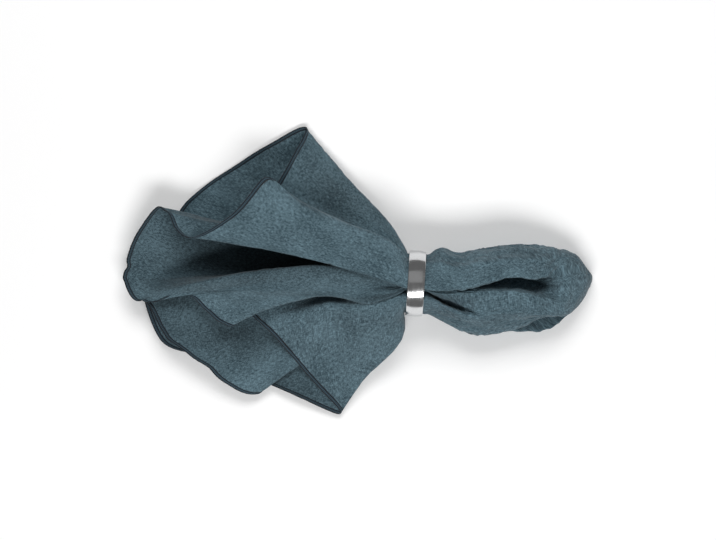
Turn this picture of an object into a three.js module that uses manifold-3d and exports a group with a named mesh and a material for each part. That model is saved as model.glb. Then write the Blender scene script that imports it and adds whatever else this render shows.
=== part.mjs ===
// Linen napkin gathered through a polished ring, lying on a table.
// Millimetres, +Z up. The ring's axis lies along X, the open folds fan out toward -X,
// and the rounded lobe, which is the middle of the cloth, lies toward +X.
import * as THREE from "three";
import { mergeVertices } from "three/addons/utils/BufferGeometryUtils.js";
import Module from "manifold-3d";

const wasm = await Module();
wasm.setup();

// Cloth
const clothThickness = 1.1;
const restHeight = 0.5;
const clothColour = 0x4f6672;

// Ring
const ringOuterRadius = 21;
const ringInnerRadius = 19.8;
const ringWidth = 10.8;
const ringEdgeRound = 0.5;
const ringTurn = THREE.MathUtils.degToRad(-3.5);
const ringX = 36.6;
const ringY = -8.6;
const ringSides = 56;
const ringColour = 0xc9cbcc;

// Mesh steps
const lobeRows = 9;
const ringRows = 2;
const fanRows = 9;
const stepsPerHalfPanel = 2;
const smoothing = 0.15;
const weldDistance = 0.001;
const touchDistance = 0.02;
const drawBack = 0.06;
const clearOfRing = 1;
const puffOut = 6;

// One row for each fold, in order round the cloth, from the top edge over the front,
// past the bottom edge and back underneath. hemX, hemY, hemZ: where the fold meets the hem.
// ringAngle, ringRadius: where it passes through the ring, 0 at the top edge, 90 at the front.
// lobeSide: 1 at the lobe's upper outline, -1 at its lower one. lobeHeight: 0 table, 1 crest.
// bow, lift: how far the hem's middle up to the next fold stands out and up.
// sag, sway: how far the fold's own line dips and bends aside halfway to the hem.
// swell: how far it bends aside close to the ring.
const foldColumns = ["name", "hemX", "hemY", "hemZ", "ringAngle", "ringRadius",
  "lobeSide", "lobeHeight", "bow", "lift", "sag", "sway", "swell"];
const folds = [
  ["top edge", -33.6, 91.5, 2.8, 4, 18.7, 1.0, 0.42, -1.3, 2, 5, -0.5, 1.8],
  ["front roll valley", -53.7, 52.1, 19, 24, 16.8, 0.9, 0.68, 1.8, 3, 0, 0, 0],
  ["upper crest", -58.8, 58.4, 33, 42, 18.7, 0.66, 0.95, -5.3, 2, 0, -5.5, 7],
  ["overhanging lip", -106.8, 20.5, 30, 100, 18.7, 0.24, 0.93, -2.9, 0, 0, 4, 0],
  ["back of hollow", -120.4, 36.0, 23, 58, 13.6, 0.42, 0.56, 0, 0, 2, 2, 0],
  ["hollow peak", -127.3, 40.3, 21, 48, 6.5, 0.36, 0.32, 4.6, -2, 14, 2, 0],
  ["hollow floor", -148.9, -2.5, 14, 66, 4.5, 0.14, 0.3, 2.2, 0, 17, 1, 0],
  ["corner", -141.3, -19.7, 14, 80, 12.2, 0.02, 0.52, 2.6, 2, -5, 11, 3.5],
  ["wavy front hem", -115.3, -14.5, 20, 93, 13.6, -0.04, 0.74, 0, 1, -2, -0.5, 0],
  ["lower lip", -80.6, -35.9, 20, 107, 14.8, -0.1, 0.86, 0, -1, 0, 9, -8],
  ["under the lip", -76.4, -21.0, 12, 109, 6.5, -0.42, 0.74, 0, 0, 5, 3, 0],
  ["lower crest", -54.8, -40.7, 13, 119, 18.7, -0.56, 0.82, 0, 0, -2, 5, 0],
  ["bottom edge", -11.2, -92.1, 2.6, 184, 18.7, -0.86, 0.44, 0, 3.5, 0, -0.3, -6.8],
  ["back turn", -76.8, -65.3, 1.6, 206, 18.7, -0.74, 0.14, 0, 0, 5, 0, 0],
  ["back ridge", -63.3, -78.9, 5, 214, 7, -1.0, 0.22, -4.2, 2, 0, 0, 0],
  ["back panel wave", -107.6, -54.4, 14, 226, 5.5, -0.8, 0, -3.3, 2, 9, 0, 0],
  ["back corner", -136.1, -19.3, 12, 238, 7, -0.5, 0.5, 15, -3, 4, 12, 0],
  ["base turn", -93.3, -51.7, 6.2, 250, 18.7, -0.3, 0, 0, 0, 0, 0, 0],
  ["gather 1 valley", -116.3, -8.9, 4.8, 260, 5, -0.14, 0.25, 0, 0, 2, 0, 0],
  ["gather 1 crest", -95.9, -40.9, 3.4, 270, 18.7, 0.04, 0, 0, 0, 0, 0, 0],
  ["gather 2 valley", -116.3, -8.9, 2.0, 290, 5, 0.24, 0.25, 0, 0, 3, 0, 0],
  ["gather 2 crest", -95.9, -40.9, 0.5, 308, 18.7, 0.5, 0, 0, -1, 1, 0, 0],
  ["back panel start", -115.6, 33.9, 5, 328, 18.7, 0.8, 0, -3.4, -2, 6, 0, 0],
  ["back panel hem", -78.1, 67.2, 1.4, 345, 12, 0.9, 0.3, -1.7, 0.5, 3, 0, 0],
].map((row) => Object.fromEntries(foldColumns.map((name, i) => [name, row[i]])));

// Sections of the lobe from the ring to its tip: the two ends of each section line seen
// from above, the height of its crest, how much of it still runs straight out of the ring,
// how much of the folds' own shape is left there, where the slot's upper lip lies, how far
// the slot stands open, how deep the crease below it is, and where the front rim folds back.
const lobeColumns = ["upperX", "upperY", "lowerX", "lowerY", "crest", "straight", "folded",
  "lip", "open", "crease", "rim"];
const lobeSections = [
  [42.0, 11.5, 42.0, -27.8, 38.5, 1, 1, -0.25, 0, 1, -1.0],
  [50.9, 16.0, 50.9, -32.2, 39, 0.3, 1, -0.2, 0, 1, -1.0],
  [63.6, 10.8, 63.6, -38.6, 39.5, 0.08, 1, 0.06, 0, 0.8, -1.0],
  [76.4, 13.7, 77.0, -41.4, 40, 0, 1, 0.16, 0.25, 0.15, -1.0],
  [96.7, 15.9, 98.0, -38.8, 38, 0, 1, 0.25, 1, 0, -0.97],
  [115.8, 15.6, 118.4, -38.4, 32, 0, 0.85, 0.16, 0.9, 0, -0.67],
  [129.8, 13.0, 133.4, -29.2, 25, 0, 0.1, 0, 0, 0, -0.56],
  [139.4, 9.0, 143.8, -18.4, 18, 0, 0, 0, 0, 0, -0.3],
  [144.2, 3.0, 148.4, -9.1, 13, 0, 0, 0, 0, 0, -0.2],
  [147.4, -0.6, 149.5, -4.6, 9, 0, 0, 0, 0, 0, -0.5],
  [148.5, -2.2, 148.9, -2.9, 6, 0, 0, 0, 0, 0, -0.9],
].map((row) => Object.fromEntries(lobeColumns.map((name, i) => [name, row[i]])));

// Folds that the slot and the crease move: how far each follows the lip, and how much
// further up the side and higher it lies where the slot is shut.
const slotFolds = [
  ["upper crest", 0.35, 0, 0],
  ["overhanging lip", 1, 0, 0],
  ["back of hollow", 1, 0, 0],
  ["hollow peak", 1, 0, 0],
  ["hollow floor", 1, 0.2, 0.1],
  ["corner", 1, 0.22, 0.2],
  ["wavy front hem", 1, 0.24, 0.14],
  ["lower lip", 1, 0.22, 0.05],
  ["under the lip", 0.4, 0, 0],
];
const hullWaist = 0.42;
const hullTopPower = 0.8;
const hullBasePower = 0.6;
const creaseRise = 0.1;
const creaseDepth = 0.35;
const rimTuck = 0.24;

// Local bends of single folds: where between the ring (0) and the hem (1), over what
// length, how far aside and how far up.
const bends = [
  ["lower lip", 0.43, 0.14, 2.4, 0],
  ["lower lip", 0.23, 0.07, -2.0, 0],
  ["lower crest", 0.55, 0.14, 4.5, 0],
  ["lower crest", 0.26, 0.09, -1.6, 0],
  ["under the lip", 0.34, 0.16, 0, -10],
  ["hollow peak", 0.66, 0.2, 0, -7],
  ["corner", 0.7, 0.2, 0, 6],
  ["wavy front hem", 0.7, 0.2, 0, 3],
];

const { lerp } = THREE.MathUtils;
const along = new THREE.Vector3(Math.cos(ringTurn), Math.sin(ringTurn), 0);
const across = new THREE.Vector3(-Math.sin(ringTurn), Math.cos(ringTurn), 0);
const up = new THREE.Vector3(0, 0, 1);
const ringCentre = new THREE.Vector3(ringX, ringY, ringOuterRadius);

// Each fold and the middle of the panel after it share one list of control points.
function withMiddles(key, turn = 0) {
  const values = [];
  folds.forEach((fold, i) => {
    const next = folds[(i + 1) % folds.length][key] + (i + 1 === folds.length ? turn : 0);
    values.push(fold[key], (fold[key] + next) / 2);
  });
  return values;
}

const foldNumber = (name) => folds.findIndex((fold) => fold.name === name);
const lipHome = folds[foldNumber("overhanging lip")].lobeSide;
const ringAngles = withMiddles("ringAngle", 360).map(THREE.MathUtils.degToRad);
const ringRadii = withMiddles("ringRadius");
const sags = withMiddles("sag");
const sways = withMiddles("sway");
const swells = withMiddles("swell");
const controlCount = ringAngles.length;

const hemPoints = folds.flatMap((fold, i) => {
  const next = folds[(i + 1) % folds.length];
  const here = new THREE.Vector3(fold.hemX, fold.hemY, fold.hemZ);
  const there = new THREE.Vector3(next.hemX, next.hemY, next.hemZ);
  const outward = new THREE.Vector3(there.y - here.y, here.x - there.x, 0).normalize();
  const middle = here.clone().lerp(there, 0.5).addScaledVector(outward, fold.bow);
  return [here, middle.addScaledVector(up, fold.lift)];
});

// Where each control line crosses the ring's section, as an offset from its axis.
const spokes = ringAngles.map((angle, i) => new THREE.Vector3()
  .addScaledVector(across, ringRadii[i] * Math.cos(angle))
  .addScaledVector(up, ringRadii[i] * Math.sin(angle)));
const halfPassage = ringWidth / 2 + clearOfRing;
const leftFace = spokes.map((s) => ringCentre.clone().addScaledVector(along, -halfPassage).add(s));
const rightFace = spokes.map((s) => ringCentre.clone().addScaledVector(along, halfPassage).add(s));

// A section of the lobe, at a place between two rows of its table.
function lobeSection(place) {
  const low = Math.min(Math.floor(place), lobeSections.length - 2);
  const row = {};
  for (const name of lobeColumns) {
    row[name] = lerp(lobeSections[low][name], lobeSections[low + 1][name], place - low);
  }
  const sides = folds.map((fold) => fold.lobeSide);
  const heights = folds.map((fold) => fold.lobeHeight);
  for (const [name, follow, shutSide, shutHeight] of slotFolds) {
    sides[foldNumber(name)] += follow * (row.lip - lipHome) + shutSide * (1 - row.open);
    heights[foldNumber(name)] += shutHeight * (1 - row.open);
  }
  heights[foldNumber("under the lip")] += creaseRise - creaseDepth * row.crease;
  sides[foldNumber("bottom edge")] = row.rim;
  sides[foldNumber("back turn")] = row.rim + rimTuck;
  const at = (values, i) => (values[i >> 1] + values[((i + 1) >> 1) % folds.length]) / 2;
  const bottomEdge = 2 * foldNumber("bottom edge");
  const backRidge = 2 * foldNumber("back ridge");
  return spokes.map((spoke, i) => {
    const turn = i <= bottomEdge
      ? Math.PI * i / bottomEdge
      : Math.PI + Math.PI * (i - bottomEdge) / (controlCount - bottomEdge);
    const bulge = Math.sin(turn);
    const hullHeight = bulge > 0
      ? lerp(hullWaist, 1, bulge ** hullTopPower)
      : lerp(hullWaist, 0, (-bulge) ** hullBasePower);
    const kept = i >= bottomEdge && i <= backRidge ? 1 : row.folded;
    const side = lerp(Math.cos(turn), at(sides, i), kept);
    const height = lerp(hullHeight, at(heights, i), kept);
    const free = new THREE.Vector3(
      lerp(row.lowerX, row.upperX, (side + 1) / 2),
      lerp(row.lowerY, row.upperY, (side + 1) / 2),
      restHeight + height * (row.crest - restHeight),
    );
    const outOfRing = Math.max(0, row.upperX - lobeSections[0].upperX);
    const straight = rightFace[i].clone().addScaledVector(along, outOfRing);
    return free.lerp(straight, row.straight);
  });
}

// A section of the fan, t = 0 at the ring and 1 at the hem.
function fanSection(t) {
  const bell = 4 * t * (1 - t); // 1 halfway
  const nearRing = 12.2 * t * (1 - t) ** 4; // 1 at a fifth of the way
  const puff = puffOut * 4.2 * t * (1 - t) ** 3;
  return leftFace.map((start, i) => {
    const run = hemPoints[i].clone().sub(start);
    const aside = new THREE.Vector3(run.y, -run.x, 0).normalize();
    const point = start.clone().lerp(hemPoints[i], t);
    point.addScaledVector(spokes[i].clone().normalize(), puff);
    point.addScaledVector(aside, sways[i] * bell + swells[i] * nearRing);
    point.z -= sags[i] * bell;
    for (const [name, place, length, out, rise] of bends) {
      if (i === 2 * foldNumber(name)) {
        const near = Math.exp(-(((t - place) / length) ** 2));
        point.addScaledVector(aside, out * near).addScaledVector(up, rise * near);
      }
    }
    return point;
  });
}

// All sections in order, from the lobe's tip to the hem.
const sections = [];
for (let k = 0; k < lobeRows; k += 1) {
  sections.push(lobeSection((lobeSections.length - 1) * (1 - k / lobeRows)));
}
for (let k = 0; k <= ringRows; k += 1) {
  sections.push(rightFace.map((p, i) => p.clone().lerp(leftFace[i], k / ringRows)));
}
for (let k = 1; k <= fanRows; k += 1) {
  sections.push(fanSection((k / fanRows) ** 1.15));
}

// Every section becomes a smooth closed loop with the same number of points.
const columns = controlCount * stepsPerHalfPanel;
const grid = sections.map((points) => {
  const loop = new THREE.CatmullRomCurve3(points, true, "centripetal");
  return Array.from({ length: columns }, (_, c) => loop.getPoint(c / columns));
});
const tip = grid[0].reduce((sum, p) => sum.add(p), new THREE.Vector3()).divideScalar(columns);

function surfaceNormal(r, c) {
  const before = grid[r][(c + columns - 1) % columns];
  const after = grid[r][(c + 1) % columns];
  const inner = r > 0 ? grid[r - 1][c] : tip;
  const outer = grid[Math.min(r + 1, grid.length - 1)][c];
  return outer.clone().sub(inner).cross(after.clone().sub(before)).normalize();
}

// One panel of the cloth, from a fold to the next, as a closed slab of even thickness.
function panelSlab(firstColumn, lastColumn) {
  const positions = [];
  const triangles = [];
  const put = (point) => {
    positions.push(point.x, point.y, point.z);
    return positions.length / 3 - 1;
  };
  const half = clothThickness / 2;
  const tipOut = put(tip.clone().add(new THREE.Vector3(half, 0, 0)));
  const tipIn = put(tip.clone().add(new THREE.Vector3(-half, 0, 0)));
  const outside = [];
  const inside = [];
  for (let r = 0; r < grid.length; r += 1) {
    outside.push([]);
    inside.push([]);
    for (let c = firstColumn; c <= lastColumn; c += 1) {
      const point = grid[r][c % columns];
      const normal = surfaceNormal(r, c % columns);
      outside[r].push(put(point.clone().addScaledVector(normal, half)));
      inside[r].push(put(point.clone().addScaledVector(normal, -half)));
    }
  }
  const quad = (a, b, c, d) => triangles.push(a, b, c, a, c, d);
  const last = lastColumn - firstColumn;
  const end = grid.length - 1;
  for (let c = 0; c < last; c += 1) {
    triangles.push(tipOut, outside[0][c], outside[0][c + 1]);
    triangles.push(tipIn, inside[0][c + 1], inside[0][c]);
    for (let r = 0; r < end; r += 1) {
      quad(outside[r][c], outside[r + 1][c], outside[r + 1][c + 1], outside[r][c + 1]);
      quad(inside[r][c], inside[r][c + 1], inside[r + 1][c + 1], inside[r + 1][c]);
    }
    quad(outside[end][c], inside[end][c], inside[end][c + 1], outside[end][c + 1]);
  }
  for (const [c, first] of [[0, true], [last, false]]) {
    const wall = (a, b, d, e) => (first ? quad(a, b, d, e) : quad(a, e, d, b));
    wall(tipOut, tipIn, inside[0][c], outside[0][c]);
    for (let r = 0; r < end; r += 1) {
      wall(outside[r][c], inside[r][c], inside[r + 1][c], outside[r + 1][c]);
    }
  }
  return solidFrom(new Float32Array(positions), new Uint32Array(triangles));
}

function solidFrom(vertProperties, triVerts) {
  return new wasm.Manifold(new wasm.Mesh({ numProp: 3, vertProperties, triVerts }));
}

function solidFromGeometry(geometry) {
  geometry.deleteAttribute("normal");
  geometry.deleteAttribute("uv");
  const merged = mergeVertices(geometry.toNonIndexed(), weldDistance);
  return solidFrom(merged.attributes.position.array, new Uint32Array(merged.index.array));
}

function geometryFrom(solid) {
  const mesh = solid.getMesh();
  const geometry = new THREE.BufferGeometry();
  geometry.setAttribute("position", new THREE.BufferAttribute(mesh.vertProperties, 3));
  geometry.setIndex(new THREE.BufferAttribute(mesh.triVerts, 1));
  geometry.computeVertexNormals();
  return geometry;
}

// Where two layers only just touch, each is drawn back a little from the other.
function partTouchingLayers(geometry) {
  const position = geometry.attributes.position;
  const normal = geometry.attributes.normal;
  const cells = new Map();
  for (let i = 0; i < position.count; i += 1) {
    const key = [position.getX(i), position.getY(i), position.getZ(i)]
      .map((v) => Math.round(v / touchDistance)).join();
    cells.set(key, [...(cells.get(key) ?? []), i]);
  }
  for (const cell of cells.values()) {
    if (cell.length < 2) {
      continue;
    }
    for (const i of cell) {
      position.setXYZ(
        i,
        position.getX(i) - normal.getX(i) * drawBack,
        position.getY(i) - normal.getY(i) * drawBack,
        Math.max(0, position.getZ(i) - normal.getZ(i) * drawBack),
      );
    }
  }
  return geometry;
}

function largest(solid) {
  return solid.decompose().reduce((a, b) => (b.volume() > a.volume() ? b : a));
}

// The panels join at their folds into one cloth, and the table plane makes its base flat.
function napkinGeometry() {
  const panelColumns = 2 * stepsPerHalfPanel;
  let cloth = panelSlab(0, panelColumns);
  for (let panel = 1; panel < folds.length; panel += 1) {
    cloth = cloth.add(panelSlab(panel * panelColumns, (panel + 1) * panelColumns));
  }
  const below = new THREE.BoxGeometry(400, 300, 20);
  below.translate(0, 0, -10);
  cloth = cloth.subtract(solidFromGeometry(below));
  cloth = largest(largest(cloth).simplify(smoothing));
  return partTouchingLayers(geometryFrom(cloth));
}

// The ring's wall, turned about its own axis, with rounded rims.
function ringGeometry() {
  const w = ringWidth / 2;
  const e = ringEdgeRound;
  const profile = [
    [ringInnerRadius, -w + e], [ringInnerRadius, w - e],
    [ringInnerRadius + 0.15, w - 0.15], [ringInnerRadius + e, w],
    [ringOuterRadius - e, w], [ringOuterRadius - 0.15, w - 0.15],
    [ringOuterRadius, w - e], [ringOuterRadius, -w + e],
    [ringOuterRadius - 0.15, -w + 0.15], [ringOuterRadius - e, -w],
    [ringInnerRadius + e, -w], [ringInnerRadius + 0.15, -w + 0.15],
    [ringInnerRadius, -w + e],
  ].map(([r, y]) => new THREE.Vector2(r, y));
  return new THREE.LatheGeometry(profile.reverse(), ringSides);
}

const napkin = new THREE.Mesh(
  napkinGeometry(),
  new THREE.MeshStandardMaterial({ color: clothColour, roughness: 0.95, metalness: 0 }),
);
napkin.name = "napkin";

const ring = new THREE.Mesh(
  ringGeometry(),
  new THREE.MeshStandardMaterial({ color: ringColour, roughness: 0.2, metalness: 1 }),
);
ring.name = "ring";
ring.position.copy(ringCentre);
ring.rotation.z = ringTurn - Math.PI / 2;

const part = new THREE.Group();
part.add(napkin, ring);

export default part;
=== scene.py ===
import math

import bpy
import numpy as np
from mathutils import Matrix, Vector


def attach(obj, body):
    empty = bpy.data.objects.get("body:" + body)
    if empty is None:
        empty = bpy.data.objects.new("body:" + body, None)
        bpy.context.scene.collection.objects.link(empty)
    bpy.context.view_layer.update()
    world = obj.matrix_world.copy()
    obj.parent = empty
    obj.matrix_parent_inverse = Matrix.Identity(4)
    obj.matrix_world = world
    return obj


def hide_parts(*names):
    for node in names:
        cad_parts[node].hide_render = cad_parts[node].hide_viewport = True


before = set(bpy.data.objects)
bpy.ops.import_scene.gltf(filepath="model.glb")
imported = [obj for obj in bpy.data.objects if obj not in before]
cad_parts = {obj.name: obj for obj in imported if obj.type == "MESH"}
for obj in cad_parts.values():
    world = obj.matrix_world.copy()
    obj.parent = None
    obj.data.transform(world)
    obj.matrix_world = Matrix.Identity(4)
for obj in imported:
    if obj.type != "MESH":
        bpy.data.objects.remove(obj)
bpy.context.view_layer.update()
print("frame loaded")

# Every size below is in millimetres and becomes metres only when a mesh or a pattern is made.
metre = 0.001

ring = dict(
    centre=(36.6, -8.6, 21.0),
    turn=-3.5,            # degrees, seen from above
    outer=21.0,
    inner=19.8,
    width=10.8,
    crown=0.45,           # how much the band's middle stands proud of its rims
    rimRound=0.55,
    around=256,           # mesh steps round the band
    acrossOutside=17,     # and across its outside, its inside and each rim
    acrossInside=9,
    acrossRim=7,
)

napkin = dict(
    side=420.0,           # the flat cut
    rest=0.5,             # height of the lowest layer of the lobe
    lowest=0.05,          # no point of the sheet lies lower than this
    puff=25.2,            # how fast the folds swell as they leave the ring
    passage=1.0,          # straight run past each rim of the ring
    ringClear=0.6,        # air between the ring's left face and the folds beside it, kept up to
    ringReach=0.5,        # this far outside the ring
    lobeSteps=82,         # mesh steps along the cloth: lobe, ring and fan
    ringSteps=4,
    fanSteps=104,
    fanCrowding=1.1,      # above 1 the fan's steps are shorter near the ring
)

# name, where the fold meets the hem (x, y, z), its angle and radius in the ring, its side and height
# in the lobe, how far the hem's middle up to the next fold stands out and up, how far the fold's
# line dips halfway to the hem, how far it bends aside there and close to the ring, and the mesh
# steps in each half of the panel after it
foldNames = ["name", "hemX", "hemY", "hemZ", "angle", "radius", "side", "height",
             "bow", "lift", "sag", "sway", "swell", "steps"]
foldRows = [
    ["top edge", -33.6, 91.5, 2.8, 4, 18.7, 1.0, 0.42, -1.3, 2, 5, -0.5, 1.8, 12],
    ["front roll valley", -53.7, 52.1, 19, 24, 16.8, 0.9, 0.68, 1.8, 3, 0, 0, 0, 8],
    ["upper crest", -58.8, 58.4, 33, 42, 18.7, 0.66, 0.95, -5.3, 2, 0, -5.5, 7, 16],
    ["overhanging lip", -106.8, 20.5, 30, 100, 18.7, 0.24, 0.93, -2.9, 0, 0, 4, 0, 9],
    ["back of hollow", -120.4, 36.0, 23, 58, 13.6, 0.42, 0.56, 0, 0, 2, 2, 0, 7],
    ["hollow peak", -127.3, 40.3, 21, 48, 6.5, 0.36, 0.32, 4.6, -2, 14, 2, 0, 14],
    ["hollow floor", -148.9, -2.5, 14, 66, 4.5, 0.14, 0.3, 2.2, 0, 17, 1, 0, 12],
    ["corner", -141.3, -19.7, 14, 80, 12.2, 0.02, 0.52, 2.6, 2, -5, 11, 3.5, 12],
    ["wavy front hem", -115.3, -14.5, 20, 93, 13.6, -0.04, 0.74, 0, 1, -2, -0.5, 0, 13],
    ["lower lip", -80.6, -35.9, 20, 107, 14.8, -0.1, 0.86, 0, -1, 0, 9, -8, 7],
    ["under the lip", -76.4, -21.0, 12, 109, 6.5, -0.42, 0.74, 0, 0, 5, 3, 0, 10],
    ["lower crest", -54.8, -40.7, 13, 119, 18.7, -0.56, 0.82, 0, 0, -2, 5, 0, 18],
    ["bottom edge", -11.2, -92.1, 2.6, 184, 18.7, -0.86, 0.44, 0, 3.5, 0, -0.3, -6.8, 11],
    ["back turn", -76.8, -65.3, 1.6, 206, 18.7, -0.74, 0.14, 0, 0, 5, 0, 0, 6],
    ["back ridge", -63.3, -78.9, 5, 214, 7, -1.0, 0.22, -4.2, 2, 0, 0, 0, 12],
    ["back panel wave", -107.6, -54.4, 14, 226, 5.5, -0.8, 0, -3.3, 2, 9, 0, 0, 11],
    ["back corner", -136.1, -19.3, 12, 238, 7, -0.5, 0.5, 15, -3, 4, 12, 0, 9],
    ["base turn", -93.3, -51.7, 5.4, 250, 18.7, -0.3, 0, 0, 0, 0, 0, 0, 4],
    ["gather 1 valley", -116.3, -8.9, 5.0, 256, 5, -0.24, 0.45, 0, 0, 2, 0, 0, 3],
    ["gather 1 crest", -95.9, -40.9, 4.6, 262, 18.7, -0.14, 0, 0, 0, 0, 0, 0, 3],
    ["gather 2 valley", -116.3, -8.9, 4.2, 268, 5, -0.06, 0.35, 0, 0, 2, 0, 0, 3],
    ["gather 2 crest", -95.9, -40.9, 3.8, 274, 18.7, 0.04, 0, 0, 0, 0, 0, 0, 3],
    ["gather 3 valley", -116.4, -9.0, 3.4, 280, 5, 0.1, 0.22, 0, 0, 2, 0, 0, 3],
    ["gather 3 crest", -95.9, -40.9, 3.0, 286, 18.7, 0.2, 0, 0, 0, 0, 0, 0, 3],
    ["gather 4 valley", -116.4, -9.0, 2.6, 292, 5, 0.28, 0.22, 0, 0, 3, 0, 0, 3],
    ["gather 4 crest", -96.0, -40.9, 2.2, 298, 18.7, 0.36, 0, 0, 0, 1, 0, 0, 3],
    ["gather 5 valley", -116.4, -9.0, 1.8, 304, 5.5, 0.44, 0.3, 0, 0, 4, 0, 0, 3],
    ["gather 5 crest", -96.0, -41.0, 1.4, 310, 18.7, 0.52, 0, 0, 0, 2, 0, 0, 3],
    ["gather 6 valley", -116.5, -9.0, 1.0, 314, 6, 0.6, 0.45, 0, 0, 5, 0, 0, 3],
    ["gather 6 crest", -96.0, -41.0, 0.6, 319, 18.7, 0.7, 0, 0, -2, 2, 0, 0, 4],
    ["back panel start", -115.6, 33.9, 5, 328, 18.7, 0.8, 0, -3.4, -2, 6, 0, 0, 9],
    ["back panel hem", -78.1, 67.2, 1.4, 345, 12, 0.9, 0.3, -1.7, 0.5, 3, 0, 0, 11],
]
# local bends of single folds: name, where between the ring (0) and the hem (1), over what length, how
# far aside and how far up
bends = [
    ["hollow peak", 0.66, 0.2, 0, -7],
    ["hollow floor", 0.82, 0.12, 0, -1.5],
    ["corner", 0.7, 0.2, 0, 6],
    ["wavy front hem", 0.13, 0.12, 0, -2.5],
    ["wavy front hem", 0.7, 0.2, 0, 3],
    ["lower lip", 0.13, 0.1, 0.9, 2.5],
    ["lower lip", 0.23, 0.07, -2.0, 0],
    ["lower lip", 0.43, 0.14, 2.4, 0],
    ["under the lip", 0.34, 0.16, 0, -10],
    ["lower crest", 0.13, 0.1, -1.0, 0],
    ["lower crest", 0.26, 0.09, -1.6, 0],
    ["lower crest", 0.4, 0.08, -2.2, 0],
    ["lower crest", 0.55, 0.14, 4.5, 0],
]
# waves of the hem: name of the fold before, how far on to the next one, over what length (both as
# shares of the panel), how far out and how far up
hemWaves = [
    ["front roll valley", 0.55, 0.22, 1.6, 4],
    ["hollow peak", 0.88, 0.05, -1.6, 0],
    ["hollow floor", 0.1, 0.12, 0.8, 0],
    ["corner", 0.14, 0.08, -1.3, 1],
    ["wavy front hem", 0.28, 0.16, -2.2, 1.5],
    ["wavy front hem", 0.72, 0.1, 0.8, 0],
    ["back ridge", 0.25, 0.16, -2.0, 0],
    ["back ridge", 0.72, 0.14, 2.2, 1],
    ["back panel wave", 0.35, 0.12, -1.2, 0],
    ["back panel wave", 0.75, 0.12, 0.9, 0],
]
waveReach = 14.0          # how far in from the hem a wave dies away
# painted shade, multiplied into the cloth's colour where little light gets in between the layers: name of
# the fold before, how far on to the next one, over what length (both as shares of the panel), where
# between the ring and the hem, over what length, and the share of light lost
paintedShadePlaces = [
    ["top edge", 0.6, 0.55, 0.68, 0.3, 0.36],
    ["overhanging lip", 0.08, 0.14, 0.12, 0.22, 0.75],
    ["back of hollow", 0.5, 1.1, 0.8, 0.2, 0.32],
    ["hollow floor", 0.0, 1.4, 0.4, 0.45, 0.78],
    ["wavy front hem", 0.75, 0.16, 0.12, 0.22, 0.5],
    ["lower lip", 0.15, 0.2, 0.13, 0.16, 0.7],
    ["under the lip", 0.6, 0.3, 0.4, 0.2, 0.6],
    ["bottom edge", 0.55, 0.6, 1.0, 0.35, 0.38],
    ["back ridge", 0.95, 0.5, 0.74, 0.17, 0.4],
    ["back panel wave", 0.6, 0.7, 0.92, 0.16, 0.35],
    ["back panel hem", 0.5, 0.7, 1.0, 0.4, 0.2],
]
folds = {name: [row[i] for row in foldRows] for i, name in enumerate(foldNames)}
foldNumber = {name: i for i, name in enumerate(folds["name"])}

# sections of the lobe, from the ring to its tip: both ends of the section line from above, the height
# of its crest, how much still runs straight out of the ring, how much of the folds is left, where the
# upper lip of the slot lies, how far the slot stands open, how deep the crease below it is, and
# where the front rim folds back
lobeNames = ["upperX", "upperY", "lowerX", "lowerY", "crest", "straight", "folded",
             "lip", "open", "crease", "rim"]
lobeTable = np.array([
    [42.0, 11.5, 42.0, -27.8, 38.5, 1, 1, -0.25, 0, 1, -1.0],
    [50.9, 16.0, 50.9, -32.2, 39, 0.3, 1, -0.2, 0, 1, -1.0],
    [63.6, 10.8, 63.6, -38.6, 39.5, 0.08, 1, 0.06, 0, 0.8, -1.0],
    [76.4, 13.7, 77.0, -41.4, 40, 0, 1, 0.16, 0.25, 0.15, -1.0],
    [96.7, 15.9, 98.0, -38.8, 38, 0, 1, 0.25, 1, 0, -0.97],
    [115.8, 15.6, 118.4, -38.4, 32, 0, 0.85, 0.16, 0.9, 0, -0.67],
    [129.8, 13.0, 133.4, -29.2, 25, 0, 0.1, 0, 0, 0, -0.56],
    [139.4, 9.0, 143.8, -18.4, 18, 0, 0, 0, 0, 0, -0.3],
    [144.2, 3.0, 148.4, -9.1, 13, 0, 0, 0, 0, 0, -0.2],
    [147.4, -0.6, 149.5, -4.6, 9, 0, 0, 0, 0, 0, -0.5],
    [148.5, -2.2, 148.9, -2.9, 6, 0, 0, 0, 0, 0, -0.9],
])

# what the slot, the crease and the rim do to each fold they reach: how far the fold goes with the
# lip, and how much further up the side and higher it lies where the slot is shut
slotFolds = {
    "upper crest": (0.35, 0, 0),
    "overhanging lip": (1, 0, 0),
    "back of hollow": (1, 0, 0),
    "hollow peak": (1, 0, 0),
    "hollow floor": (1, 0.2, 0.1),
    "corner": (1, 0.22, 0.2),
    "wavy front hem": (1, 0.24, 0.14),
    "lower lip": (1, 0.22, 0.05),
    "under the lip": (0.4, 0, 0),
}
creaseRise = 0.1          # the crease's floor where it has run out, and its depth where it is full
creaseDepth = 0.35
rimTuck = 0.24            # how far in the cloth turns back behind the front rim
hullWaist = 0.42          # the lobe without folds: height of its widest line, and how round it is
hullTopPower = 0.8        # above that line and below
hullBasePower = 0.6

turn = math.radians(ring["turn"])
along = np.array([math.cos(turn), math.sin(turn), 0.0])
across = np.array([-math.sin(turn), math.cos(turn), 0.0])
up = np.array([0.0, 0.0, 1.0])
ringCentre = np.array(ring["centre"])
halfPassage = ring["width"] / 2 + napkin["passage"]


def betweenFolds(value, wrap=0.0):
    # each fold's value, and after it the mean of it and the next one
    following = np.roll(value, -1, axis=-1)
    following[..., -1] += wrap
    return np.stack([value, (value + following) / 2], -1).reshape(*value.shape[:-1], -1)


def withMiddles(key, wrap=0.0):
    # a column of the fold table, with the means between
    return betweenFolds(np.array(folds[key], float), wrap)


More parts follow.
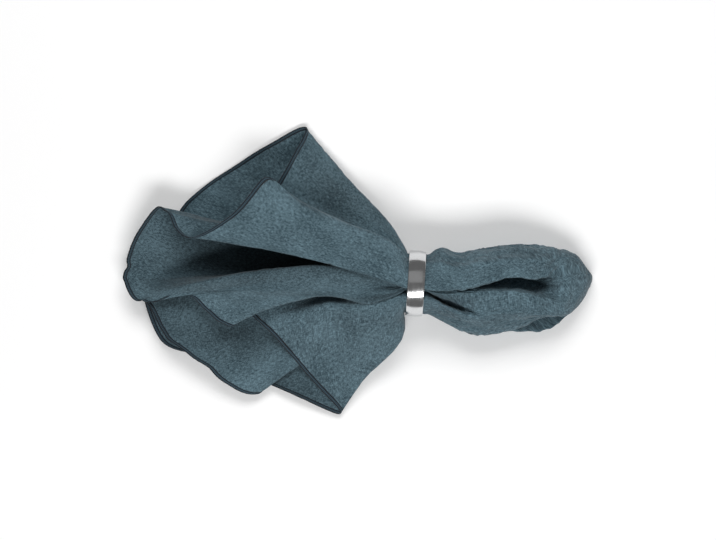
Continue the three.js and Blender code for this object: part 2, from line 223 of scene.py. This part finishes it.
# places in the ring: a point on a circle about its axis for each fold, at both ends of the passage
angles = np.radians(withMiddles("angle", 360))[:, None]
spokes = withMiddles("radius")[:, None] * (np.cos(angles) * across + np.sin(angles) * up)
leftFace = ringCentre - along * halfPassage + spokes
rightFace = ringCentre + along * halfPassage + spokes
controlCount = len(angles)


def hemLine():
    # the hem's own control points: the folds, and between them the chord's middle, moved out and up
    here = np.array([folds["hemX"], folds["hemY"], folds["hemZ"]], float).T
    there = np.roll(here, -1, axis=0)
    outward = np.stack([there[:, 1] - here[:, 1], here[:, 0] - there[:, 0], 0 * here[:, 0]], 1)
    outward /= np.linalg.norm(outward, axis=1, keepdims=True) + 1e-9
    bow = np.array(folds["bow"])[:, None]
    lift = np.array(folds["lift"])[:, None]
    middle = (here + there) / 2 + outward * bow + up * lift
    return np.stack([here, middle], 1).reshape(-1, 3)


def lobeRow(place):
    # the table's columns at each place, joined by a smooth cubic through the rows
    low = np.clip(np.floor(place).astype(int), 0, len(lobeTable) - 2)
    s = (place - low)[:, None]
    a, b, c, d = (lobeTable[np.clip(low + k, 0, len(lobeTable) - 1)] for k in (-1, 0, 1, 2))
    square = a - 2.5 * b + 2 * c - 0.5 * d
    cube = 1.5 * (b - c) + 0.5 * (d - a)
    row = b + 0.5 * s * (c - a) + s**2 * square + s**3 * cube
    return {name: row[:, i:i + 1] for i, name in enumerate(lobeNames)}


def lobeSections(place):
    # each section is the line between its two outline points, lifted to the folds' heights, which
    # give way to a plain rounded hull towards the tip
    col = lobeRow(place)
    shares = ("folded", "straight", "open", "crease")
    folded, straight, opened, crease = (np.clip(col[key], 0, 1) for key in shares)
    rows = np.zeros((len(place), 1))
    side = np.array(folds["side"], float)[None] + rows
    height = np.array(folds["height"], float)[None] + rows
    lipHome = folds["side"][foldNumber["overhanging lip"]]
    for name, (follow, shutSide, shutHeight) in slotFolds.items():
        i = foldNumber[name]
        side[:, i:i + 1] += follow * (col["lip"] - lipHome) + shutSide * (1 - opened)
        height[:, i:i + 1] += shutHeight * (1 - opened)
    height[:, foldNumber["under the lip"]] += creaseRise - creaseDepth * crease[:, 0]
    rim = np.clip(col["rim"][:, 0], -1, 1)
    side[:, foldNumber["bottom edge"]] = rim
    side[:, foldNumber["back turn"]] = rim + rimTuck
    side, height = betweenFolds(side), betweenFolds(height)
    # the hull: half a turn over the top to the bottom edge, and half a turn back below
    bottom = 2 * foldNumber["bottom edge"]
    k = np.arange(controlCount)
    below = np.pi + np.pi * (k - bottom) / (controlCount - bottom)
    q = np.where(k <= bottom, np.pi * k / bottom, below)
    bulge = np.sin(q)
    above = hullWaist + (1 - hullWaist) * np.abs(bulge)**hullTopPower
    under = hullWaist - hullWaist * np.abs(bulge)**hullBasePower
    hull = np.where(bulge > 0, above, under)
    rimPart = (k >= bottom) & (k <= 2 * foldNumber["back ridge"])
    kept = np.where(rimPart, 1, folded)
    side = np.cos(q) + (side - np.cos(q)) * kept
    height = hull + (height - hull) * kept
    w = (side + 1) / 2
    free = np.stack([
        col["lowerX"] + (col["upperX"] - col["lowerX"]) * w,
        col["lowerY"] + (col["upperY"] - col["lowerY"]) * w,
        napkin["rest"] + height * (col["crest"] - napkin["rest"]),
    ], -1)
    out = np.maximum(0, col["upperX"] - lobeTable[0, 0])[:, :, None] * along
    return free + (rightFace[None] + out - free) * straight[:, :, None]


def fanSections(t):
    # straight lines from the ring's face to the hem, swollen near the ring, dipped halfway by their sag
    # and bent aside by a bell of height 1 halfway (sway) and another a fifth of the way on (swell)
    t = t[:, None, None]
    hem = hemLine()
    halfwayBell = 4 * t * (1 - t)
    fifthBell = 12.2 * t * (1 - t)**4       # 12.2 brings its top to 1
    radial = spokes / (np.linalg.norm(spokes, axis=1, keepdims=True) + 1e-9)
    run = hem - leftFace
    aside = np.stack([run[:, 1], -run[:, 0], 0 * run[:, 0]], 1)
    aside /= np.linalg.norm(aside, axis=1, keepdims=True)
    point = leftFace + run * t + radial * (napkin["puff"] * t * (1 - t)**3)
    point = point - up * withMiddles("sag")[:, None] * halfwayBell
    for name, place, length, out, lift in bends:
        near = np.exp(-((t - place) / length)**2)
        i = 2 * foldNumber[name]
        point[:, i:i + 1] += near * (aside[i] * out + up * lift)
    sway = withMiddles("sway")[:, None] * halfwayBell
    swell = withMiddles("swell")[:, None] * fifthBell
    return point + aside * (sway + swell)


steps = np.repeat(np.array(folds["steps"]), 2)
span = np.repeat(np.arange(controlCount), steps)
shareOfSpan = np.concatenate([np.arange(n) / n for n in steps])
foldPlace = (span + shareOfSpan) / 2        # each column's place among the folds


def smoothLoops(control):
    # closed centripetal Catmull-Rom curves through each row of control points
    s = shareOfSpan[None, :, None]
    gap = lambda a, b: np.maximum(np.sqrt(np.linalg.norm(b - a, axis=-1, keepdims=True)), 1e-4)
    p0, p1, p2, p3 = (np.roll(control, shift, axis=1) for shift in (1, 0, -1, -2))
    d0, d1, d2 = gap(p0, p1), gap(p1, p2), gap(p2, p3)
    t1 = ((p1 - p0) / d0 - (p2 - p0) / (d0 + d1) + (p2 - p1) / d1) * d1
    t2 = ((p2 - p1) / d1 - (p3 - p1) / (d1 + d2) + (p3 - p2) / d2) * d1
    a, b, ta, tb = (v[:, span] for v in (p1, p2, t1, t2))
    return a + ta * s + (-3 * a + 3 * b - 2 * ta - tb) * s**2 + (2 * a - 2 * b + ta + tb) * s**3


def gridNormals(grid):
    # the step along the cloth crossed with the step round it
    normal = np.cross(np.gradient(grid, axis=0), np.roll(grid, -1, 1) - np.roll(grid, 1, 1))
    return normal / (np.linalg.norm(normal, axis=2, keepdims=True) + 1e-12)


def valueNoise(x, y, cell, seed):
    # smooth random heights from -1 to 1 on a square lattice of the given cell
    count = 256
    table = np.random.default_rng(seed).uniform(-1, 1, (count, count))
    x, y = x / cell, y / cell
    i, j = np.floor(x).astype(int), np.floor(y).astype(int)
    u, v = x - i, y - j
    u, v = u * u * (3 - 2 * u), v * v * (3 - 2 * v)
    at = lambda a, b: table[(i + a) % count, (j + b) % count]
    return (at(0, 0) * (1 - u) + at(1, 0) * u) * (1 - v) + (at(0, 1) * (1 - u) + at(1, 1) * u) * v


def waveHem(grid):
    # each wave is a bell along the hem that dies away over the waveReach inwards
    hem = grid[-1]
    toHem = np.linalg.norm(grid - hem, axis=2)
    inner = np.exp(-(toHem / waveReach)**2)
    run = np.roll(hem, -2, 0) - np.roll(hem, 2, 0)
    outward = np.stack([run[:, 1], -run[:, 0], 0 * run[:, 0]], 1)
    outward /= np.linalg.norm(outward, axis=1, keepdims=True) + 1e-9
    for name, place, length, out, lift in hemWaves:
        bell = np.exp(-((foldPlace - foldNumber[name] - place) / length)**2)[:, None]
        grid = grid + inner[:, :, None] * bell * (outward * out + up * lift)
    return grid


def clearRing(fan):
    # folds that swell over the ring's left face are moved back along its axis, less and less outside it
    away = fan - ringCentre
    beside = away @ along
    radius = np.linalg.norm(away - beside[:, :, None] * along, axis=2)
    outside = np.maximum(0, radius - ring["outer"] - napkin["ringReach"])
    limit = outside - ring["width"] / 2 - napkin["ringClear"]
    return fan - np.maximum(0, beside - limit)[:, :, None] * along


def clothGrid():
    # the sheet as rows of closed loops: from the lobe's tip to the ring, through it, and on to the hem
    tipPlace = (len(lobeTable) - 1) * (1 - np.arange(napkin["lobeSteps"]) / napkin["lobeSteps"])
    lobe = lobeSections(tipPlace)
    share = (np.arange(napkin["ringSteps"] + 1) / napkin["ringSteps"])[:, None, None]
    inRing = rightFace + (leftFace - rightFace) * share
    t = (np.arange(1, napkin["fanSteps"] + 1) / napkin["fanSteps"])**napkin["fanCrowding"]
    fan = fanSections(t)
    grid = waveHem(smoothLoops(np.concatenate([lobe, inRing, fan])))
    firstFan = len(lobe) + len(inRing)
    grid[firstFan:] = clearRing(grid[firstFan:])
    return grid


def flatPlaces(grid):
    # where each point lies on the flat cut: its distance along the cloth from the tip, in a direction
    # shared out by the hem's length; and the length along the hem
    tip = grid[0].mean(0)
    first = np.linalg.norm(grid[0] - tip, axis=1)
    reach = np.concatenate([first[None], np.linalg.norm(np.diff(grid, axis=0), axis=2)]).cumsum(0)
    stepsRound = np.linalg.norm(np.roll(grid[-1], -1, 0) - grid[-1], axis=1)
    lengthRound = np.concatenate([[0], stepsRound.cumsum()[:-1]])
    direction = 2 * np.pi * lengthRound / stepsRound.sum()
    return reach * np.cos(direction), reach * np.sin(direction), lengthRound


def paintedShareOfLight(shape):
    # the share of light left at each point of the sheet, as painted shade: 1 less a bell round each place
    firstRow = napkin["lobeSteps"] + napkin["ringSteps"]
    t = np.clip((np.arange(shape[0]) - firstRow) / napkin["fanSteps"], 0, 1)[:, None]
    light = np.ones(shape)
    for name, place, length, reach, spread, lost in paintedShadePlaces:
        nearFold = np.exp(-((foldPlace - foldNumber[name] - place) / length)**2)
        nearReach = np.exp(-((t - reach) / spread)**2) * (t > 0)
        light = light * (1 - lost * nearFold[None, :] * nearReach)
    return light


wrinkles = dict(
    # distance from the ring along its axis, and the depths of the crumple and of the swell there
    places=[-190, -120, -60, -25, -8, 8, 30, 80, 113],
    crumple=[0.1, 0.2, 0.26, 0.26, 0.15, 0.25, 0.75, 0.8, 0.35],
    swell=[0.5, 0.8, 0.6, 0.2, 0.0, 0.0, 0.4, 0.5, 0.2],
    crumpleCell=5.5,
    bendCell=12.1,        # the crumple's lattice is bent over this length
    swellCell=26.0,
    gatherDepth=0.35,     # fine folds that run out of the ring, and how far they reach
    gatherReach=26.0,
    gatherSteps=4.0,      # mesh columns between one of them and the next
    gatherDrift=0.01,     # how they wander sideways and change, for each millimetre along
    gatherChange=0.015,
    gatherFade=1.5,       # above 1 they keep their depth for longer, then die away sooner
    seeds=dict(bendX=11, bendY=12, crumple=13, swell=14, gather=16),
)


def wrinkle(grid):
    # ridged crumple and a broad swell on the flat cut, and fine gathers that run out of the ring
    x, y, _ = flatPlaces(grid)
    fromRing = (grid - ringCentre) @ along
    crumple = np.interp(fromRing, wrinkles["places"], wrinkles["crumple"])
    swell = np.interp(fromRing, wrinkles["places"], wrinkles["swell"])
    cell, seeds = wrinkles["crumpleCell"], wrinkles["seeds"]
    bendX = valueNoise(x, y, wrinkles["bendCell"], seeds["bendX"]) * cell
    bendY = valueNoise(x, y, wrinkles["bendCell"], seeds["bendY"]) * cell
    ridge = 1 - 2 * np.abs(valueNoise(x + bendX, y + bendY, cell, seeds["crumple"]))
    height = crumple * ridge + swell * valueNoise(x, y, wrinkles["swellCell"], seeds["swell"])
    rays = np.arange(grid.shape[1])[None, :] / wrinkles["gatherSteps"]
    drift = wrinkles["gatherDrift"] * fromRing
    gather = valueNoise(rays + drift, wrinkles["gatherChange"] * fromRing, 1.0, seeds["gather"])
    fade = np.exp(-(np.abs(fromRing) / wrinkles["gatherReach"])**wrinkles["gatherFade"])
    height += wrinkles["gatherDepth"] * gather * fade * (np.abs(fromRing) > halfPassage)
    return grid + gridNormals(grid) * height[:, :, None]


hem = dict(
    # rows that wrap the edge: distance from it, and height off the sheet's face in thicknesses
    rows=[[2.5, 0.0], [2.3, 0.8], [1.3, 1.0], [0.35, 0.85], [0.0, 0.0],
          [0.35, -0.85], [1.3, -1.0], [2.3, -0.8], [2.5, -0.1]],
    thick=0.42,
    # how far the thread draws the edge in and out, and over what lengths along it
    draw=[[0.105, 3.5], [0.15, 14.0]],
    farOff=50.0,          # points further in than this all count as this far from the edge
)


def wrapHem(grid):
    # the edge is drawn in and out a little by the thread, and the sheet ends in a flat roll round it
    edge = grid[-1]
    inward = grid[-4] - edge
    inward /= np.linalg.norm(inward, axis=1, keepdims=True)
    normal = gridNormals(grid)[-2]
    lengthRound = flatPlaces(grid)[2]
    for seed, (depth, cell) in enumerate(hem["draw"], 21):
        edge = edge + inward * (depth * valueNoise(lengthRound, 0 * lengthRound, cell, seed))[:, None]
    roll = [edge + inward * d + normal * h * hem["thick"] for d, h in hem["rows"]]
    sheet = grid[:-2]
    return np.concatenate([sheet, np.array(roll)]), len(sheet), lengthRound


def makeMesh(name, points, faces):
    # a smooth piece at the origin, its place in its mesh
    mesh = bpy.data.meshes.new(name)
    mesh.from_pydata((points.reshape(-1, 3) * metre).tolist(), [], faces)
    mesh.polygons.foreach_set("use_smooth", np.ones(len(mesh.polygons), bool))
    mesh.update()
    piece = bpy.data.objects.new(name, mesh)
    bpy.context.scene.collection.objects.link(piece)
    return piece


def gridFaces(rows, columns, wrapRows=False):
    # four-sided faces between each row and the next, round the columns
    index = np.arange(rows * columns).reshape(rows, columns)
    a = index if wrapRows else index[:-1]
    d = np.roll(index, -1, 0) if wrapRows else index[1:]
    return np.stack([a, d, np.roll(d, -1, 1), np.roll(a, -1, 1)], -1).reshape(-1, 4).tolist()


def makeNapkin():
    # the crumpled grid with its hem wrapped, closed at the lobe's tip, and its places on the flat cut
    grid = wrinkle(clothGrid())
    flatX, flatY, _ = flatPlaces(grid)
    grid, kept, lengthRound = wrapHem(grid)
    grid[:, :, 2] = np.maximum(grid[:, :, 2], napkin["lowest"])
    rows, columns = grid.shape[:2]
    # the tip is closed by a fan of triangles to its middle
    tip = rows * columns
    ends = np.arange(columns)
    cap = np.stack([np.full(columns, tip), ends, np.roll(ends, -1)], 1)
    points = np.concatenate([grid.reshape(-1, 3), grid[0].mean(0)[None]])
    piece = makeMesh("napkinCloth", points, gridFaces(rows, columns) + cap.tolist())
    mesh = piece.data
    # flat cut and hem places, and the painted shade, for the material
    reach = np.hypot(flatX, flatY)
    direction = np.arctan2(flatY[-1], flatX[-1])
    hemReach = np.array([d for d, _ in hem["rows"]])
    last = reach[-1]
    flat = np.zeros((rows, columns, 2))
    flat[:kept] = np.stack([flatX[:kept], flatY[:kept]], -1)
    outer = last[None] - hemReach[:, None]
    flat[kept:] = np.stack([outer * np.cos(direction), outer * np.sin(direction)], -1)
    fromEdge = np.full((rows, columns), hem["farOff"])
    fromEdge[:kept] = np.minimum(hem["farOff"], last[None] - reach[:kept])
    fromEdge[kept:] = hemReach[:, None]
    hemPlace = np.stack([np.broadcast_to(lengthRound, (rows, columns)), fromEdge], -1)
    for name, values in (("flatCut", flat), ("hemPlace", hemPlace)):
        layer = mesh.attributes.new(name, "FLOAT2", "POINT")
        data = np.concatenate([values.reshape(-1, 2), values[0].mean(0)[None]]) * metre
        layer.data.foreach_set("vector", data.astype(np.float32).ravel())
    # painted shade: the share of light left, which the material multiplies into the colour
    light = paintedShareOfLight((rows, columns))
    layer = mesh.attributes.new("paintedLightLeft", "FLOAT", "POINT")
    layer.data.foreach_set("value", np.append(light.ravel(), light[0].mean()).astype(np.float32))
    mesh.update()
    mesh.validate()
    area = sum(p.area for p in mesh.polygons)
    print("napkin", len(mesh.polygons), "faces,", round(area, 4), "square metres")
    return piece


def makeRing():
    # the band's section, a closed profile with a crowned outside and rounded rims, turned about its axis
    w, o, i, r = ring["width"] / 2, ring["outer"], ring["inner"], ring["rimRound"]
    side = np.linspace(-1, 1, ring["acrossOutside"])
    outside = np.stack([o - ring["crown"] * side**2, side * (w - r)], 1)
    bend = np.linspace(0, np.pi, ring["acrossRim"] + 2)[1:-1]
    half = (o - ring["crown"] - i) / 2
    rightRim = np.stack([i + half + half * np.cos(bend), w - r + r * np.sin(bend)], 1)
    count = ring["acrossInside"]
    inside = np.stack([np.full(count, i), np.linspace(w - r, -w + r, count)], 1)
    leftRim = np.stack([i + half - half * np.cos(bend), -w + r - r * np.sin(bend)], 1)
    profile = np.concatenate([outside, rightRim, inside, leftRim])
    a = (2 * np.pi * np.arange(ring["around"]) / ring["around"])[None, :, None]
    radius, place = profile[:, 0][:, None, None], profile[:, 1][:, None, None]
    points = ringCentre + along * place + radius * (np.cos(a) * across + np.sin(a) * up)
    return makeMesh("ringBand", points, gridFaces(len(profile), ring["around"], wrapRows=True))


def linear(hexColour):
    # sRGB hex to the linear colour that a shader reads
    channel = [int(hexColour[i:i + 2], 16) / 255 for i in (1, 3, 5)]
    return [c / 12.92 if c < 0.04045 else ((c + 0.055) / 1.055)**2.4 for c in channel] + [1.0]


def perMetre(size):
    # a pattern's scale from its real size in millimetres
    return 1 / (size * metre)


def addNode(tree, kind, settings=None, inputs=None):
    # settings are the node's own properties; an input is a value, or an output socket to link
    node = tree.nodes.new(kind)
    for key, value in (settings or {}).items():
        setattr(node, key, value)
    for key, value in (inputs or {}).items():
        if isinstance(value, bpy.types.NodeSocket):
            tree.links.new(value, node.inputs[key])
        else:
            node.inputs[key].default_value = value
    return node


def startMaterial(name):
    # a new material, its node tree and its shader
    material = bpy.data.materials.new(name)
    material.use_nodes = True
    return material, material.node_tree, material.node_tree.nodes["Principled BSDF"]


linen = dict(
    thread="#4A5F68",     # stonewashed slate blue
    shade="#2F424B",
    fleck="#637C87",
    hem="#33454F",
    # the hem's grooves: dark thread and painted shade in the crevices
    grooveThreadAndShade="#101A24",
    threadGap=2 / 3,      # real threads lie about 0.5 mm apart: drawn coarser, so that they show
    slubLength=2.381,     # slubs and mottle
    undulationShadeSize=25.0,       # painted shade of the cloth's slow undulations, in broad random patches
    mottleShare=1.0,      # how much mottle and the painted undulation shade count beside the weave
    undulationShadeShare=0.6,
    darkest=1.53,         # sums of weave, mottle and painted undulation shade that give shade and fleck
    lightest=2.07,
    hemWidth=2.6,         # the overlocked band, with a soft inner edge up to 0.2 mm further in
    hemEdge=2.8,
    seamMiddle=1.35,      # the raised thread between the hem's two grooves, and half its width
    seamHalf=0.62,
    stitchGap=1.1,
    stitchDark=0.55,      # shades of the stitches
    stitchLight=1.3,
    reliefDepth=0.25,     # of threads and stitches
)


def linenMaterial():
    # Washed linen in plain weave: matt, with slubs along both threads and a faint bloom at grazing angles.
    material, tree, shader = startMaterial("washedLinen")
    flat = addNode(tree, "ShaderNodeAttribute", dict(attribute_name="flatCut")).outputs["Vector"]
    hemAt = addNode(tree, "ShaderNodeAttribute", dict(attribute_name="hemPlace")).outputs["Vector"]
    # slubs: noise drawn out along one thread direction, then the other
    acrossThread, alongThread = perMetre(linen["threadGap"]), perMetre(linen["slubLength"])
    slubs = []
    for scale in ((acrossThread, alongThread, 1), (alongThread, acrossThread, 1)):
        drawn = addNode(tree, "ShaderNodeMapping", inputs={"Vector": flat, "Scale": scale}).outputs[0]
        slubs.append(addNode(tree, "ShaderNodeTexNoise", inputs={
            "Vector": drawn, "Scale": 1.0, "Detail": 2.0}).outputs["Fac"])
    weave = addNode(tree, "ShaderNodeMath", dict(operation="ADD"), {0: slubs[0], 1: slubs[1]}).outputs[0]
    mottle = addNode(tree, "ShaderNodeTexNoise", inputs={
        "Vector": flat, "Scale": alongThread, "Detail": 4.0, "Roughness": 0.65}).outputs["Fac"]
    # painted shade: broad random patches for the cloth's slow undulations
    undulationShade = addNode(tree, "ShaderNodeTexNoise", inputs={
        "Vector": flat, "Scale": perMetre(linen["undulationShadeSize"]), "Detail": 3.0}).outputs["Fac"]
    fine = addNode(tree, "ShaderNodeMath", dict(operation="MULTIPLY_ADD"), {
        0: mottle, 1: linen["mottleShare"], 2: weave}).outputs[0]
    both = addNode(tree, "ShaderNodeMath", dict(operation="MULTIPLY_ADD"), {
        0: undulationShade, 1: linen["undulationShadeShare"], 2: fine}).outputs[0]
    spread = addNode(tree, "ShaderNodeMapRange", inputs={
        "Value": both, "From Min": linen["darkest"], "From Max": linen["lightest"]}).outputs[0]
    colours = addNode(tree, "ShaderNodeValToRGB", inputs={"Fac": spread})
    ramp = colours.color_ramp
    ramp.elements[0].color = linear(linen["shade"])
    ramp.elements[1].color = linear(linen["fleck"])
    ramp.elements.new(0.5).color = linear(linen["thread"])
    # overlocked hem: a raised thread between two grooves, crossed by stitches; the grooves are dark thread
    # with painted shade
    parts = addNode(tree, "ShaderNodeSeparateXYZ", inputs={"Vector": hemAt})
    lengthwise, inward = parts.outputs["X"], parts.outputs["Y"]
    inBand = addNode(tree, "ShaderNodeMapRange", inputs={
        "Value": inward, "From Min": linen["hemEdge"] * metre,
        "From Max": linen["hemWidth"] * metre}).outputs[0]
    turns = addNode(tree, "ShaderNodeMath", dict(operation="MULTIPLY"), {
        0: lengthwise, 1: 2 * math.pi * perMetre(linen["stitchGap"])}).outputs[0]
    stitch = addNode(tree, "ShaderNodeMath", dict(operation="SINE"), {0: turns}).outputs[0]
    stitchShade = addNode(tree, "ShaderNodeMapRange", inputs={
        "Value": stitch, "From Min": -1.0, "From Max": 1.0,
        "To Min": linen["stitchDark"], "To Max": linen["stitchLight"]}).outputs[0]
    thread = addNode(tree, "ShaderNodeMix", dict(data_type="RGBA", blend_type="MULTIPLY"), {
        0: 1.0, 6: linear(linen["hem"]), 7: stitchShade}).outputs[2]
    raised = addNode(tree, "ShaderNodeMath", dict(operation="COMPARE"), {
        0: inward, 1: linen["seamMiddle"] * metre, 2: linen["seamHalf"] * metre}).outputs[0]
    hemColour = addNode(tree, "ShaderNodeMix", dict(data_type="RGBA"), {
        0: raised, 6: linear(linen["grooveThreadAndShade"]), 7: thread}).outputs[2]
    colour = addNode(tree, "ShaderNodeMix", dict(data_type="RGBA"), {
        0: inBand, 6: colours.outputs[0], 7: hemColour}).outputs[2]
    # painted shade: the colour multiplied by the share of light left at each point
    light = addNode(tree, "ShaderNodeAttribute", dict(attribute_name="paintedLightLeft")).outputs["Fac"]
    shadePaintedColour = addNode(tree, "ShaderNodeMix", dict(data_type="RGBA", blend_type="MULTIPLY"), {
        0: 1.0, 6: colour, 7: light}).outputs[2]
    tree.links.new(shadePaintedColour, shader.inputs["Base Color"])
    shader.inputs["Roughness"].default_value = 0.93
    shader.inputs["Specular IOR Level"].default_value = 0.25
    shader.inputs["Sheen Weight"].default_value = 0.12
    shader.inputs["Sheen Roughness"].default_value = 0.6
    height = addNode(tree, "ShaderNodeMix", dict(data_type="FLOAT"), {
        0: inBand, 2: fine, 3: stitch}).outputs[0]
    bump = addNode(tree, "ShaderNodeBump", inputs={
        "Height": height, "Strength": 0.55, "Distance": linen["reliefDepth"] * metre}).outputs[0]
    tree.links.new(bump, shader.inputs["Normal"])
    return material


steel = dict(
    colour="#D2D3D4",
    lineGap=0.3846,       # turning lines round the band, finer on the real one and drawn so as to show
    lineLength=16.667,
    hazeSize=7.143,
    smoothest=0.10,       # roughness where the haze is thinnest, and where it is thickest
    roughest=0.24,
    lineDepth=0.05,
)


def steelMaterial():
    # Polished stainless steel: a bright mirror with fine turning lines round the band and soft wiped haze.
    material, tree, shader = startMaterial("polishedSteel")
    place = addNode(tree, "ShaderNodeTexCoord").outputs["Object"]
    lineScale = (perMetre(steel["lineGap"]), perMetre(steel["lineLength"]), perMetre(steel["lineLength"]))
    lines = addNode(tree, "ShaderNodeMapping", inputs={
        "Vector": place, "Rotation": (0, 0, -turn), "Scale": lineScale}).outputs[0]
    grain = addNode(tree, "ShaderNodeTexNoise", inputs={
        "Vector": lines, "Scale": 1.0, "Detail": 2.0}).outputs["Fac"]
    haze = addNode(tree, "ShaderNodeTexNoise", inputs={
        "Vector": place, "Scale": perMetre(steel["hazeSize"]), "Detail": 3.0}).outputs["Fac"]
    mixed = addNode(tree, "ShaderNodeMath", dict(operation="MULTIPLY"), {0: grain, 1: haze}).outputs[0]
    rough = addNode(tree, "ShaderNodeMapRange", inputs={
        "Value": mixed, "From Min": 0.1, "From Max": 0.4,
        "To Min": steel["smoothest"], "To Max": steel["roughest"]}).outputs[0]
    shader.inputs["Base Color"].default_value = linear(steel["colour"])
    shader.inputs["Metallic"].default_value = 1.0
    tree.links.new(rough, shader.inputs["Roughness"])
    bump = addNode(tree, "ShaderNodeBump", inputs={
        "Height": grain, "Strength": 0.08, "Distance": steel["lineDepth"] * metre}).outputs[0]
    tree.links.new(bump, shader.inputs["Normal"])
    return material


studio = dict(
    paper="#FFFFFF",
    paperHalf=2500.0,
    paperHeight=-0.3,
    surround=0.15,
    lampWidth=1.0,
    lamps=[
        # name, place in metres, watts, height in metres, whether the ring mirrors it: two long softboxes
        # on opposite sides, 39 degrees from overhead, as on a copy stand, and a pale card above
        ["frontSoftbox", (0.05, -0.85, 1.05), 12.0, 0.35, True],
        ["backSoftbox", (0.0, 0.85, 1.05), 10.5, 0.6, False],
        ["ceilingCard", (0.0, 0.55, 1.25), 0.55, 1.0, True],
    ],
)


def paperMaterial():
    # Matt white background paper.
    material, _, shader = startMaterial("backgroundPaper")
    shader.inputs["Base Color"].default_value = linear(studio["paper"])
    shader.inputs["Roughness"].default_value = 0.9
    return material


def makeStudio():
    corners = np.array([[-1, -1], [1, -1], [1, 1], [-1, 1]]) * studio["paperHalf"]
    points = np.column_stack([corners, np.full(4, studio["paperHeight"])])
    floor = makeMesh("floor", points, [[0, 1, 2, 3]])
    floor.data.materials.append(paperMaterial())
    world = bpy.data.worlds.new("studio")
    world.use_nodes = True
    background = world.node_tree.nodes["Background"]
    background.inputs["Color"].default_value = (1, 1, 1, 1)
    background.inputs["Strength"].default_value = studio["surround"]
    bpy.context.scene.world = world
    for name, place, watts, height, mirrored in studio["lamps"]:
        lamp = bpy.data.lights.new(name, "AREA")
        lamp.shape = "RECTANGLE"
        lamp.energy = watts
        lamp.size = studio["lampWidth"]
        lamp.size_y = height
        light = bpy.data.objects.new(name, lamp)
        light.location = place
        light.rotation_euler = (-Vector(place)).to_track_quat("-Z", "Y").to_euler()
        light.visible_glossy = mirrored
        bpy.context.scene.collection.objects.link(light)
    bpy.context.scene.view_settings.view_transform = "Standard"


view = dict(width=0.4557, distance=2.3, focusHeight=0.014, sensor=36.0)


def makeCamera():
    # a long lens straight above, framed so that the picture is 455.7 mm wide at the cloth's height
    lens = bpy.data.cameras.new("camera")
    lens.sensor_width = view["sensor"]
    lens.lens = view["sensor"] * (view["distance"] - view["focusHeight"]) / view["width"]
    camera = bpy.data.objects.new("camera", lens)
    camera.location = (0, 0, view["distance"])
    bpy.context.scene.collection.objects.link(camera)
    bpy.context.scene.camera = camera


makeCamera()
makeStudio()
print("studio ready")

cloth = makeNapkin()
cloth.data.materials.append(linenMaterial())
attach(cloth, "root")
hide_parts("napkin")
print("napkin ready")

band = makeRing()
band.data.materials.append(steelMaterial())
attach(band, "root")
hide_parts("ring")
print("ring ready")
